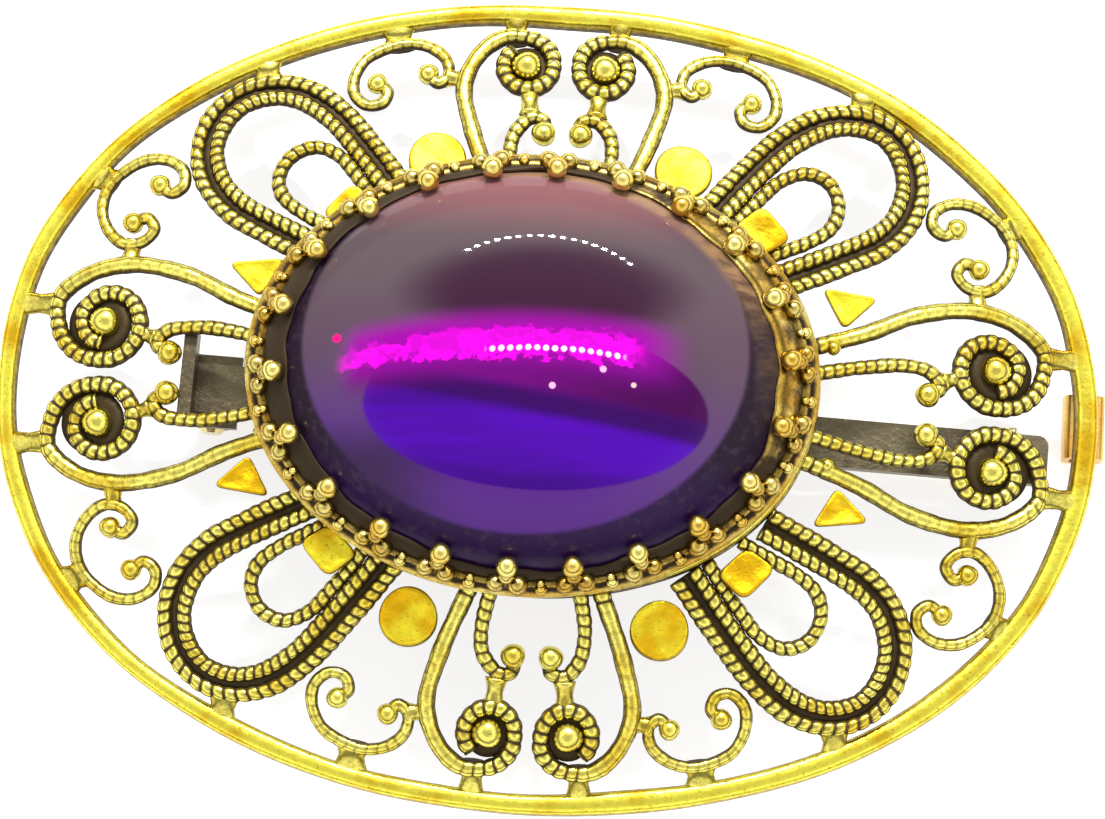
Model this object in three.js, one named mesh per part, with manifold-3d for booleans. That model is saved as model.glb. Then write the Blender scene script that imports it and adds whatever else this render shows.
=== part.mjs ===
// A domed oval filigree brooch: cast scrollwork inside a wire rim, a foil-backed
// glass cabochon in a crown setting, and a bar pin with a roll-over safety catch.
// Millimetres. +X runs along the long axis, +Y to the top edge, +Z out of the front.
// The origin is under the middle of the rim, level with the lowest point of the catch.
import * as THREE from 'three';
import { mergeVertices } from 'three/addons/utils/BufferGeometryUtils.js';
import Module from 'manifold-3d';

const wasm = await Module();
wasm.setup();

// ---- Driving dimensions ----------------------------------------------------

const RIM = { length: 51.6, width: 38.5, band: 1.1, thick: 1.0, squareness: 2.1, bevel: 0.26 };
const DOME = { rimLevel: 0.7, rise: 4.06 };           // height of the wires' centreline
const RING = { a: 12.5, b: 9.6, band: 0.65, bottom: 3.5, top: 4.3 };
const WIRE = 0.66;                                     // round beaded wire
const SCROLL_WIRE = 0.56;                              // plain wire of the C scrolls
const VOLUTE_WIRE = 0.76;                              // heavier wire of the volutes
const STRAP = { wireOffset: 0.46, wireRadius: 0.36, web: 0.1 };
const BALL = { volute: 0.71, scroll: 0.58, curl: 0.5 };
const WEB_PLATE = { thick: 0.3, drop: 0.1 };           // thin metal left between a volute's turns
const TIE = { wide: 0.6, middle: 0.5, narrow: 0.4 };   // cast bridges between neighbours
const BALL_PROUD = 0.08;                               // of the wires' centreline
const DISC = { at: [5.74, 10.73], radius: 1.37, thick: 0.5 };
const PLAQUE = { thick: 0.35, triangleProud: -0.1, leafProud: 0.36 };

// The setting was soldered a little off the middle of the filigree.
const SETTING = { x: -0.7, y: 0.6, z: 4.35, aspect: 0.78 };
const CROWN = {
  flange: 13.2, flangeHeight: 0.35, wall: 12.75, inner: 12.12, height: 0.85, floor: 0.27,
  prongs: 22, firstProng: -0.75, segments: 40,
};
const PRONG = { width: 1.1, thick: 0.42, tipBall: 0.5, contactHeight: 1.2 };
const STONE = { a: 12.0, b: 9.3, bottom: 4.84, girdle: 0.26, dome: 3.8 };
const FOIL = { a: 11.9, b: 9.2, bottom: 4.66, thick: 0.14 };

// The pin back lies a little askew and right of the middle, as it was soldered.
const PIN = { x: 3.2, y: -0.9, turn: THREE.MathUtils.degToRad(-1.8), axisZ: -1.27 };
const BAR = { length: 40.4, width: 2.3, bottom: 0.48, thick: 0.7, hole: 0.6, holeAt: 6 };
const HINGE = {
  at: -18.9, baseLength: 2.6, baseWidth: 3.4, baseThick: 0.39, earInner: 1.05, earThick: 0.4,
  earRadius: 0.85, bore: 0.41, rivet: 0.36, head: 0.6, headThick: 0.26,
};
const STEM = { radius: 0.38, eye: 0.95, eyeWidth: 1.9, eyeBore: 0.42, taperStart: 17.9, tip: 19.7 };
const CATCH = {
  at: 17.5, length: 1.8, outer: 1.4, inner: 1.02, slot: 1.5, footWidth: 1.4,
  barrel: 0.94, bore: 0.56, barrelSlot: 1.04, collar: 1.25, collarLength: 0.5, clear: 0.08,
  leverReach: 2.0, leverThick: 0.42, leverAngle: THREE.MathUtils.degToRad(70),
};
const BRIDGE = { from: -20.2, to: -19.6, low: -1.9, high: 2.4, top: 2.72 };
const BAIL = { x: 25.25, y: 0.4, depth: 1.9, drop: 1.75, wall: 0.36, width: 3.0 };
const GAP = 0.04;                                      // between soldered neighbours

// The edges of the catch's slot are the lowest points, and sit on z = 0.
const LIFT = Math.sqrt(CATCH.outer ** 2 - (CATCH.slot / 2) ** 2) - PIN.axisZ;

const QUADRANTS = [
  { name: 'upper_right', sx: 1, sy: 1 },
  { name: 'upper_left', sx: -1, sy: 1 },
  { name: 'lower_left', sx: -1, sy: -1 },
  { name: 'lower_right', sx: 1, sy: -1 },
];

// ---- Materials -------------------------------------------------------------

const metal = (color, roughness) => () =>
  new THREE.MeshStandardMaterial({ color, roughness, metalness: 1 });
const antiqueGold = metal('#b3922e', 0.38);
const brightGold = metal('#e2c038', 0.28);
const darkBrass = metal('#6d604a', 0.5);
const violetGlass = () =>
  new THREE.MeshStandardMaterial({ color: '#4b0a8c', roughness: 0.06, metalness: 0 });
const mirrorFoil = metal('#b9a2d8', 0.15);

// ---- Small tools -----------------------------------------------------------

function toSolid(geometry) {
  const bare = geometry.clone();
  bare.deleteAttribute('normal');
  bare.deleteAttribute('uv');
  const merged = mergeVertices(bare, 1e-4);
  return new wasm.Manifold(new wasm.Mesh({
    numProp: 3,
    vertProperties: new Float32Array(merged.attributes.position.array),
    triVerts: new Uint32Array(merged.index.array),
  }));
}

function toGeometry(solid) {
  const mesh = solid.getMesh();
  const geometry = new THREE.BufferGeometry();
  geometry.setAttribute('position', new THREE.BufferAttribute(mesh.vertProperties, 3));
  geometry.setIndex(new THREE.BufferAttribute(mesh.triVerts, 1));
  geometry.computeVertexNormals();
  return geometry;
}

function join(...geometries) {
  return toGeometry(geometries.map(toSolid).reduce((all, next) => all.add(next)));
}

function cut(geometry, ...tools) {
  return toGeometry(tools.map(toSolid).reduce((all, next) => all.subtract(next), toSolid(geometry)));
}

function box(x0, x1, y0, y1, z0, z1) {
  return new THREE.BoxGeometry(x1 - x0, y1 - y0, z1 - z0)
    .translate((x0 + x1) / 2, (y0 + y1) / 2, (z0 + z1) / 2);
}

// A cylinder whose axis runs along X, from x0 to x1, about (y, z).
function rodX(radius, x0, x1, y, z, sides = 16) {
  return new THREE.CylinderGeometry(radius, radius, x1 - x0, sides)
    .rotateZ(Math.PI / 2)
    .translate((x0 + x1) / 2, y, z);
}

// A cylinder whose axis runs along Y, from y0 to y1, about (x, z).
function rodY(radius, y0, y1, x, z, sides = 16) {
  return new THREE.CylinderGeometry(radius, radius, y1 - y0, sides)
    .translate(x, (y0 + y1) / 2, z);
}

const ball = (radius, centre) => new THREE.IcosahedronGeometry(radius).translate(...centre);

// ---- The domed surface that the filigree follows ----------------------------

function domeHeight(x, y) {
  const out = (2 * x / RIM.length) ** 2 + (2 * y / RIM.width) ** 2;
  return DOME.rimLevel + DOME.rise * (1 - out);
}

const onDome = ([x, y]) => new THREE.Vector3(x, y, domeHeight(x, y));

// The point where a wire that heads for [x, y] leaves the base ring.
function fromRing([x, y], clearance = 0.22) {
  const reach = Math.hypot(x / (RING.a + clearance), y / (RING.b + clearance));
  return [x / reach, y / reach];
}

const mirrored = (points, { sx, sy }) => points.map(([x, y]) => [sx * x, sy * y]);

function wireSection(width) {
  const sides = 6;
  const corners = Array.from({ length: sides }, (_, i) => (2 * Math.PI * i) / sides);
  return new THREE.Shape(
    corners.map((a) => new THREE.Vector2((width / 2) * Math.cos(a), (width / 2) * Math.sin(a))),
  );
}

// Two beaded wires side by side with a thin web between them.
function strapSection() {
  const { wireOffset: c, wireRadius: r, web } = STRAP;
  const half = [
    [-web, c - r], [-r, c], [0, c + r], [r, c], [web, c - r],
  ];
  const other = half.map(([u, v]) => [-u, -v]);
  return new THREE.Shape([...half, ...other].map(([u, v]) => new THREE.Vector2(u, v)));
}

function sweep(section, points, steps) {
  const path = new THREE.CatmullRomCurve3(points.map(onDome), false, 'centripetal');
  return new THREE.ExtrudeGeometry(section, { steps, extrudePath: path });
}

// Points of a spiral round an eye. Angles are in degrees, and radii are spread over the turn.
function spiral([cx, cy], { from, turn, radii, count }) {
  return Array.from({ length: count }, (_, i) => {
    const share = i / (count - 1);
    const angle = THREE.MathUtils.degToRad(from + turn * share);
    const place = share * (radii.length - 1);
    const before = Math.min(Math.floor(place), radii.length - 2);
    const r = THREE.MathUtils.lerp(radii[before], radii[before + 1], place - before);
    return [cx + r * Math.cos(angle), cy + r * Math.sin(angle)];
  });
}

// ---- Frame of the filigree ---------------------------------------------------

function superellipse(a, b, power, count) {
  return Array.from({ length: count }, (_, i) => {
    const t = (2 * Math.PI * i) / count;
    const c = Math.cos(t);
    const s = Math.sin(t);
    const r = (Math.abs(c) ** power + Math.abs(s) ** power) ** (-1 / power);
    return new THREE.Vector2(a * r * c, b * r * s);
  });
}

function ovalBand(a, b, band, height, bevel, power, count) {
  const shape = new THREE.Shape(superellipse(a - bevel, b - bevel, power, count));
  const inside = superellipse(a - band + bevel, b - band + bevel, power, count);
  shape.holes.push(new THREE.Path(inside.reverse()));
  return new THREE.ExtrudeGeometry(shape, {
    depth: height - 2 * bevel,
    bevelEnabled: bevel > 0,
    bevelSegments: 1,
    bevelSize: bevel,
    bevelThickness: bevel,
  }).translate(0, 0, bevel);
}

const rim = () =>
  ovalBand(RIM.length / 2, RIM.width / 2, RIM.band, RIM.thick, RIM.bevel, RIM.squareness, 48);

const baseRing = () =>
  ovalBand(RING.a, RING.b, RING.band, RING.top - RING.bottom, 0, 2, 44)
    .translate(0, 0, RING.bottom);

// ---- Filigree elements, drawn for the upper right quadrant --------------------

function cornerLoop(q) {
  const centreline = [
    fromRing([7.4, 9.0], 0.5), [9.2, 11.3], [10.6, 12.8], [12.1, 13.8], [13.8, 14.1],
    [15.3, 13.6], [16.3, 12.4], [16.6, 10.8], [16.1, 9.2], [15.0, 8.0], [13.4, 7.1],
    fromRing([11.2, 6.1], 0.5),
  ];
  const ties = [{ from: [14.0, 14.5], to: [14.1, 15.25], width: TIE.wide }];
  return join(sweep(strapSection(), mirrored(centreline, q), 24), ...bridges(ties, q));
}

function innerLoop(q) {
  const centreline = [
    fromRing([8.4, 8.2], 0.35), [9.3, 9.6], [10.3, 10.7], [11.5, 11.15], [12.6, 10.7],
    [13.1, 9.6], [12.8, 8.6], [11.8, 7.8], [10.7, 7.25], fromRing([9.9, 7.0], 0.35),
  ];
  return sweep(wireSection(WIRE), mirrored(centreline, q), 20);
}

// Straight bridges, each from one point to another, that join a piece to its neighbours.
const bridges = (ties, q) =>
  ties.map(({ from, to, width }) => sweep(wireSection(width), mirrored([from, to], q), 1));

function volute({ stem, eye, coil, web, steps, ties }, q) {
  const [centre, webCentre] = mirrored([eye, web.at], q);
  const points = mirrored([...stem, ...spiral(eye, coil)], q);
  const z = domeHeight(...centre);
  const plate = new THREE.CylinderGeometry(web.radius, web.radius, WEB_PLATE.thick, 12)
    .rotateX(Math.PI / 2)
    .translate(...webCentre, z - WEB_PLATE.drop);
  return join(
    sweep(wireSection(VOLUTE_WIRE), points, steps),
    plate,
    ball(BALL.volute, [...centre, z + BALL_PROUD]),
    ...bridges(ties, q),
  );
}

const sideVolute = (q) => volute({
  stem: [fromRing([13.2, 2.9]), [14.6, 3.6], [17.0, 4.7], [19.8, 5.15], [21.8, 4.6], [23.0, 3.5]],
  eye: [20.72, 2.38],
  coil: { from: -5, turn: -440, radii: [2.22, 1.8, 1.72, 1.55, 1.22, 1.04, 1.0], count: 19 },
  web: { at: [20.97, 2.33], radius: 1.5 },
  steps: 44,
  ties: [
    { from: [23.1, 3.25], to: [24.55, 3.35], width: TIE.middle },
    { from: [19.0, 1.9], to: [18.52, 1.72], width: TIE.narrow },
  ],
}, q);

const crestVolute = (q) => volute({
  stem: [fromRing([3.3, 10.2]), [4.2, 12.3], [4.7, 14.6], [4.0, 16.4], [2.9, 17.25]],
  eye: [1.84, 15.72],
  coil: { from: 100, turn: 300, radii: [1.5, 1.22, 1.22, 1.1, 1.05], count: 12 },
  web: { at: [1.84, 15.72], radius: 1.05 },
  steps: 32,
  ties: [
    { from: [2.4, 17.0], to: [2.5, 17.95], width: TIE.middle },
    { from: [1.65, 14.5], to: [1.6, 13.45], width: TIE.narrow },
  ],
}, q);

// A curled wire with a ball nested in its last end, or in both ends.
function ballScroll(points, { wire, granule, steps, balls, ties = [] }, q) {
  const path = mirrored(points, q);
  const ends = balls === 2 ? [path[0], path[path.length - 1]] : [path[path.length - 1]];
  const granules = ends.map(([x, y]) => ball(granule, [x, y, domeHeight(x, y) + BALL_PROUD]));
  return join(sweep(wireSection(wire), path, steps), ...granules, ...bridges(ties, q));
}

const ONE_CURL = { wire: WIRE, granule: BALL.scroll, steps: 14, balls: 1 };
const TWO_CURLS = { wire: SCROLL_WIRE, granule: BALL.curl, steps: 28, balls: 2 };

const sideScroll = (q) => ballScroll(
  [fromRing([13.0, 1.55]), [14.6, 2.0], [16.3, 2.2], [17.7, 2.0], [18.15, 1.35], [17.55, 0.94]],
  ONE_CURL, q,
);

const crestScroll = (q) => ballScroll(
  [fromRing([2.2, 10.0]), [2.35, 11.1], [2.2, 12.3], [1.5, 13.05], [0.85, 12.9], [0.86, 12.25]],
  ONE_CURL, q,
);

const sideCScroll = (q) => ballScroll(
  [
    [19.8, 7.2], [19.15, 7.45], [18.75, 6.9], [19.2, 6.3], [20.1, 6.15], [20.95, 6.8],
    [21.4, 7.9], [21.2, 9.0], [20.5, 9.8], [19.5, 10.35], [18.4, 10.35], [17.6, 9.8],
    [17.55, 9.1], [18.1, 8.7], [18.7, 9.1],
  ],
  {
    ...TWO_CURLS,
    ties: [
      { from: [19.7, 6.35], to: [19.78, 5.62], width: TIE.narrow },
      { from: [20.9, 9.2], to: [21.45, 9.52], width: TIE.wide },
    ],
  },
  q,
);

const crestCScroll = (q) => ballScroll(
  [
    [8.8, 14.5], [8.3, 14.1], [8.5, 13.5], [9.2, 13.35], [9.85, 13.9], [9.95, 14.8],
    [9.5, 15.8], [8.6, 16.4], [7.5, 16.7], [6.4, 16.5], [5.65, 15.9], [5.5, 15.1],
    [5.95, 14.65], [6.45, 15.1],
  ],
  {
    ...TWO_CURLS,
    ties: [
      { from: [7.95, 16.45], to: [8.05, 17.15], width: TIE.wide },
      { from: [5.6, 15.0], to: [5.08, 14.95], width: TIE.narrow },
    ],
  },
  q,
);

// A flat plaque: a rounded outline lying on the dome, a little proud of the wires.
function plaque(outline, roundness, proud, q) {
  const corners = mirrored(outline, q);
  const count = corners.length;
  const middle = [0, 1].map((k) => corners.reduce((sum, p) => sum + p[k], 0) / count);
  const towards = (p, other, share) => p.map((value, k) => value + (other[k] - value) * share);
  const shape = new THREE.Shape();
  corners.forEach((corner, i) => {
    const before = corners[(i + count - 1) % count];
    const after = corners[(i + 1) % count];
    const start = towards(corner, before, roundness);
    const end = towards(corner, after, roundness);
    if (i === 0) shape.moveTo(...start);
    else shape.lineTo(...start);
    shape.quadraticCurveTo(...corner, ...end);
  });
  return new THREE.ExtrudeGeometry(shape, { depth: PLAQUE.thick, bevelEnabled: false, curveSegments: 3 })
    .translate(0, 0, domeHeight(...middle) + proud);
}

const triangle = (q) => plaque([[15.1, 5.25], [13.5, 3.66], [12.4, 5.6]], 0.22, PLAQUE.triangleProud, q);
const leaf = (q) => plaque([[10.9, 7.7], [9.5, 9.25], [8.15, 8.1], [9.5, 6.75]], 0.3, PLAQUE.leafProud, q);

function disc(q) {
  const [[x, y]] = mirrored([DISC.at], q);
  const slope = new THREE.Vector3(
    (8 * DOME.rise * x) / RIM.length ** 2, (8 * DOME.rise * y) / RIM.width ** 2, 1,
  ).normalize();
  const turn = new THREE.Quaternion().setFromUnitVectors(new THREE.Vector3(0, 1, 0), slope);
  return new THREE.CylinderGeometry(DISC.radius, DISC.radius, DISC.thick, 24)
    .applyQuaternion(turn)
    .translate(x, y, domeHeight(x, y));
}

// ---- Setting and stone --------------------------------------------------------

function lathe(profile, segments, aspect) {
  return new THREE.LatheGeometry(profile.map(([r, z]) => new THREE.Vector2(r, z)), segments)
    .rotateX(Math.PI / 2)
    .scale(1, aspect, 1);
}

// A point on the stone's shoulder, with the outward normal there.
function shoulder(angle, height) {
  const rise = height / STONE.dome;
  const out = Math.sqrt(1 - rise * rise);
  const [c, s] = [Math.cos(angle), Math.sin(angle)];
  const point = new THREE.Vector3(
    STONE.a * out * c, STONE.b * out * s, STONE.bottom + STONE.girdle + height,
  );
  const normal = new THREE.Vector3(
    (out * c) / STONE.a, (out * s) / STONE.b, rise / STONE.dome,
  ).normalize();
  return { point, normal };
}

// Ellipse angles that space the prongs evenly along the crown's wall.
function evenAngles(count, start) {
  const samples = 720;
  const a = CROWN.wall;
  const b = CROWN.wall * SETTING.aspect;
  const lengths = [0];
  for (let i = 1; i <= samples; i += 1) {
    const t = (2 * Math.PI * (i - 0.5)) / samples;
    const step = Math.hypot(a * Math.sin(t), b * Math.cos(t)) * ((2 * Math.PI) / samples);
    lengths.push(lengths[i - 1] + step);
  }
  const total = lengths[samples];
  const angleAt = (distance) => {
    const wrapped = ((distance % total) + total) % total;
    return (2 * Math.PI * lengths.findIndex((length) => length >= wrapped)) / samples;
  };
  return Array.from({ length: count }, (_, i) =>
    angleAt(0.75 * total + start + (i * total) / count));
}

function prong(angle) {
  const tip = shoulder(angle, PRONG.contactHeight);
  const tipCentre = tip.point.clone().addScaledVector(tip.normal, PRONG.tipBall + GAP);
  const [c, s] = [Math.cos(angle), Math.sin(angle)];
  const wallMiddle = (CROWN.wall + CROWN.inner) / 2;
  const foot = new THREE.Vector3(
    wallMiddle * c, wallMiddle * SETTING.aspect * s, SETTING.z + CROWN.height - 0.3,
  );
  const along = tipCentre.clone().sub(foot);
  const out = new THREE.Vector3(tip.normal.x, tip.normal.y, 0).normalize();
  const side = new THREE.Vector3(0, 0, 1).cross(out);
  const up = along.clone().normalize();
  const lean = new THREE.Matrix4().makeBasis(side, new THREE.Vector3().crossVectors(up, side), up);
  const blade = new THREE.BoxGeometry(PRONG.width, PRONG.thick, along.length())
    .applyMatrix4(lean)
    .translate(...foot.clone().addScaledVector(along, 0.5));
  return [blade, ball(PRONG.tipBall, tipCentre)];
}

function crownSetting() {
  const { z } = SETTING;
  const cup = lathe([
    [0, z], [CROWN.flange, z], [CROWN.flange, z + CROWN.flangeHeight],
    [CROWN.wall, z + CROWN.flangeHeight + 0.1], [CROWN.wall, z + CROWN.height],
    [CROWN.inner, z + CROWN.height], [CROWN.inner, z + CROWN.floor], [0, z + CROWN.floor],
  ], CROWN.segments, SETTING.aspect);
  const prongs = evenAngles(CROWN.prongs, CROWN.firstProng).flatMap(prong);
  return join(cup, ...prongs);
}

function cabochon() {
  const { a, bottom, girdle, dome } = STONE;
  const arc = Array.from({ length: 7 }, (_, i) => {
    const t = (Math.PI / 2) * (i / 7);
    return [a * Math.cos(t), bottom + girdle + dome * Math.sin(t)];
  });
  const profile = [[0, bottom], [a - 0.15, bottom], ...arc, [0, bottom + girdle + dome]];
  return lathe(profile, 32, STONE.b / a);
}

const foil = () => lathe(
  [[0, FOIL.bottom], [FOIL.a, FOIL.bottom], [FOIL.a, FOIL.bottom + FOIL.thick],
    [0, FOIL.bottom + FOIL.thick]],
  32, FOIL.b / FOIL.a,
);

// ---- Pin back, in the bar's own axes --------------------------------------------

function pinBar() {
  const { length, width, bottom, thick, hole, holeAt } = BAR;
  const [x, y, corner] = [length / 2, width / 2, 0.5];
  const shape = new THREE.Shape();
  shape.moveTo(-x + corner, -y);
  shape.lineTo(x - corner, -y);
  shape.absarc(x - corner, -y + corner, corner, -Math.PI / 2, 0);
  shape.absarc(x - corner, y - corner, corner, 0, Math.PI / 2);
  shape.lineTo(-x + corner, y);
  shape.absarc(-x + corner, y - corner, corner, Math.PI / 2, Math.PI);
  shape.absarc(-x + corner, -y + corner, corner, Math.PI, 1.5 * Math.PI);
  for (const at of [-holeAt, holeAt]) {
    shape.holes.push(new THREE.Path().absarc(at, 0, hole, 0, 2 * Math.PI, true));
  }
  return new THREE.ExtrudeGeometry(shape, { depth: thick, bevelEnabled: false, curveSegments: 4 })
    .translate(0, 0, bottom);
}

function hingeBracket() {
  const { at, baseLength, baseWidth, baseThick, earInner, earThick, earRadius, bore } = HINGE;
  const top = BAR.bottom - GAP;
  const half = baseLength / 2;
  const parts = [box(at - half, at + half, -baseWidth / 2, baseWidth / 2, top - baseThick, top)];
  for (const side of [-1, 1]) {
    const edges = [side * earInner, side * (earInner + earThick)].sort((p, q) => p - q);
    parts.push(box(at - earRadius, at + earRadius, ...edges, PIN.axisZ, top - baseThick / 2));
    parts.push(rodY(earRadius, ...edges, at, PIN.axisZ, 20));
  }
  return cut(join(...parts), rodY(bore, -baseWidth, baseWidth, at, PIN.axisZ));
}

function hingeRivet() {
  const { at, rivet, head, headThick, earInner, earThick } = HINGE;
  const shank = earInner + earThick + GAP;
  const end = shank + headThick;
  return new THREE.LatheGeometry([
    [0, -end], [head * 0.7, -end], [head, -shank - 0.08], [head, -shank], [rivet, -shank],
    [rivet, shank], [head, shank], [head, shank + 0.08], [head * 0.7, end], [0, end],
  ].map(([r, y]) => new THREE.Vector2(r, y)), 16).translate(at, 0, PIN.axisZ);
}

function pinStem() {
  const { at } = HINGE;
  const { radius, eye, eyeWidth, eyeBore, taperStart, tip } = STEM;
  const start = at + eye * 0.75;
  const shaft = new THREE.LatheGeometry([
    [0, start], [radius, start], [radius, taperStart], [0.12, tip - 0.1], [0, tip],
  ].map(([r, y]) => new THREE.Vector2(r, y)), 10)
    .rotateZ(-Math.PI / 2)
    .translate(0, 0, PIN.axisZ);
  const knuckle = rodY(eye, -eyeWidth / 2, eyeWidth / 2, at, PIN.axisZ, 20);
  return cut(join(knuckle, shaft), rodY(eyeBore, -eyeWidth, eyeWidth, at, PIN.axisZ));
}

function catchHousing() {
  const { at, length, outer, inner, slot, footWidth } = CATCH;
  const [x0, x1] = [at - length / 2, at + length / 2];
  const body = join(
    rodX(outer, x0, x1, 0, PIN.axisZ, 24),
    box(x0, x1, -footWidth / 2, footWidth / 2, PIN.axisZ + inner + 0.1, BAR.bottom - GAP),
  );
  return cut(
    body,
    rodX(inner, x0 - 1, x1 + 1, 0, PIN.axisZ, 24),
    box(x0 - 1, x1 + 1, -slot / 2, slot / 2, PIN.axisZ - 2 * outer, PIN.axisZ),
  );
}

function catchBarrel() {
  const { at, length, barrel, bore, barrelSlot, collar, collarLength, clear } = CATCH;
  const { leverReach, leverThick, leverAngle } = CATCH;
  const x0 = at - length / 2 - clear;
  const x1 = at + length / 2 + clear;
  const lever = box(x1, x1 + collarLength, -leverThick / 2, leverThick / 2, -leverReach, -0.8)
    .rotateX(leverAngle)
    .translate(0, 0, PIN.axisZ);
  const body = join(
    rodX(barrel, x0 - 0.1, x1 + 0.1, 0, PIN.axisZ, 24),
    rodX(collar, x0 - collarLength, x0, 0, PIN.axisZ, 24),
    rodX(collar, x1, x1 + collarLength, 0, PIN.axisZ, 24),
    lever,
  );
  return cut(
    body,
    rodX(bore, x0 - 2, x1 + 2, 0, PIN.axisZ, 16),
    box(x0 - 2, x1 + 2, -barrelSlot / 2, barrelSlot / 2, PIN.axisZ - 2 * collar, PIN.axisZ),
  );
}

const hingeEndBridge = () =>
  box(BRIDGE.from, BRIDGE.to, BRIDGE.low, BRIDGE.high, BAR.bottom + BAR.thick + GAP, BRIDGE.top);

// ---- Pendant bail behind the rim --------------------------------------------------

function roundedRectangle(width, height, corner) {
  const [x, y] = [width / 2, height / 2];
  return new THREE.Path()
    .moveTo(x, -y + corner)
    .absarc(x - corner, y - corner, corner, 0, Math.PI / 2)
    .absarc(-x + corner, y - corner, corner, Math.PI / 2, Math.PI)
    .absarc(-x + corner, -y + corner, corner, Math.PI, 1.5 * Math.PI)
    .absarc(x - corner, -y + corner, corner, 1.5 * Math.PI, 2 * Math.PI)
    .getPoints(3);
}

function pendantBail() {
  const { x, y, depth, drop, wall, width } = BAIL;
  const shape = new THREE.Shape(roundedRectangle(depth, drop, 0.5));
  const inside = roundedRectangle(depth - 2 * wall, drop - 2 * wall, 0.2);
  shape.holes.push(new THREE.Path(inside.reverse()));
  return new THREE.ExtrudeGeometry(shape, { depth: width, bevelEnabled: false })
    .rotateX(Math.PI / 2)
    .translate(x, y + width / 2, -drop / 2 - GAP);
}

// ---- Assembly ----------------------------------------------------------------------

function piece(name, geometry, material) {
  const mesh = new THREE.Mesh(geometry, material());
  mesh.name = name;
  return mesh;
}

const brooch = new THREE.Group();
brooch.position.z = LIFT;

brooch.add(piece('rim', rim(), brightGold));
brooch.add(piece('base_ring', baseRing(), antiqueGold));

const FILIGREE = {
  corner_loop: [cornerLoop, antiqueGold],
  inner_loop: [innerLoop, antiqueGold],
  side_volute: [sideVolute, antiqueGold],
  crest_volute: [crestVolute, antiqueGold],
  side_scroll: [sideScroll, antiqueGold],
  crest_scroll: [crestScroll, antiqueGold],
  side_c_scroll: [sideCScroll, antiqueGold],
  crest_c_scroll: [crestCScroll, antiqueGold],
  disc: [disc, brightGold],
  triangle: [triangle, brightGold],
  leaf: [leaf, brightGold],
};
for (const [name, [make, material]] of Object.entries(FILIGREE)) {
  for (const q of QUADRANTS) brooch.add(piece(`${name}_${q.name}`, make(q), material));
}

const setting = new THREE.Group();
setting.position.set(SETTING.x, SETTING.y, 0);
setting.add(piece('crown_setting', crownSetting(), antiqueGold));
setting.add(piece('foil_backing', foil(), mirrorFoil));
setting.add(piece('cabochon', cabochon(), violetGlass));
brooch.add(setting);

const pinBack = new THREE.Group();
pinBack.position.set(PIN.x, PIN.y, 0);
pinBack.rotation.z = PIN.turn;
pinBack.add(piece('pin_bar', pinBar(), darkBrass));
pinBack.add(piece('hinge_end_bridge', hingeEndBridge(), darkBrass));
pinBack.add(piece('hinge_bracket', hingeBracket(), darkBrass));
pinBack.add(piece('hinge_rivet', hingeRivet(), brightGold));
pinBack.add(piece('pin_stem', pinStem(), brightGold));
pinBack.add(piece('catch_housing', catchHousing(), darkBrass));
pinBack.add(piece('catch_barrel', catchBarrel(), brightGold));
brooch.add(pinBack);

brooch.add(piece('pendant_bail', pendantBail(), brightGold));

export default brooch;
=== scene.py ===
import math

import bpy
import numpy as np
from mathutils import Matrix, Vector


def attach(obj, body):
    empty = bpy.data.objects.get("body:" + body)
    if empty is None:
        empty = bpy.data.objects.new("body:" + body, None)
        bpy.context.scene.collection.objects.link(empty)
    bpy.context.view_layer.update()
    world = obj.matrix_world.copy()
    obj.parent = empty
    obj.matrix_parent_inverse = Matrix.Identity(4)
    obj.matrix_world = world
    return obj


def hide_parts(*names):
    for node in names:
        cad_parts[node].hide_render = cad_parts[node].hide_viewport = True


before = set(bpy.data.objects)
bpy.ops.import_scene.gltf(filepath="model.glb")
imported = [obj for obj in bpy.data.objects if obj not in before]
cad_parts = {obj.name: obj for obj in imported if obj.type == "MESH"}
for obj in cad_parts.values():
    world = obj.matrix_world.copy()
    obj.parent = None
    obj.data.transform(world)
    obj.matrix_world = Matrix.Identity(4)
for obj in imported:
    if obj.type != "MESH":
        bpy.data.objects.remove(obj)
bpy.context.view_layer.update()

# ---- Driving dimensions, in millimetres. Wires are a little thicker than the CAD's ---

MM = 0.001
RIM_LENGTH, RIM_WIDTH, RIM_BAND, RIM_THICK, RIM_POWER = 51.6, 38.5, 1.1, 1.0, 2.1
DOME_LEVEL, DOME_RISE = 0.7, 4.06
RING_A, RING_B, RING_BAND, RING_BOTTOM, RING_TOP = 12.5, 9.6, 0.65, 3.5, 4.3
WIRE, SCROLL_WIRE, VOLUTE_WIRE = 0.7, 0.58, 0.82
STRAP_OFFSET, STRAP_WIRE = 0.47, 0.37
BEAD_PITCH = 0.5
BALL_VOLUTE, BALL_SCROLL, BALL_CURL = 0.71, 0.58, 0.5
DISC_AT, DISC_RADIUS, DISC_THICK = (5.74, 10.73), 1.37, 0.5
PLAQUE_THICK = 0.35
SET_X, SET_Y, SET_Z, ASPECT = -0.7, 0.6, 4.35, 0.78
FLANGE, FLANGE_HEIGHT, WALL, INNER, WALL_HEIGHT, WALL_TOP = 13.2, 0.35, 12.75, 12.12, 0.85, 0.7
PRONGS, FIRST_PRONG, TIP_BALL, CONTACT_HEIGHT = 22, -0.75, 0.5, 1.2
STONE_A, STONE_B, STONE_BOTTOM, GIRDLE, STONE_DOME = 12.0, 9.3, 4.84, 0.26, 3.8
FOIL_A, FOIL_B, FOIL_BOTTOM, FOIL_THICK = 11.9, 9.2, 4.66, 0.14
AXIS_Z, CATCH_OUTER, CATCH_SLOT = -1.27, 1.4, 1.5
LIFT = math.sqrt(CATCH_OUTER ** 2 - (CATCH_SLOT / 2) ** 2) - AXIS_Z
GAP = 0.04
QUADRANTS = {
    "upper_right": (1, 1),
    "upper_left": (-1, 1),
    "lower_left": (-1, -1),
    "lower_right": (1, -1),
}


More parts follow.
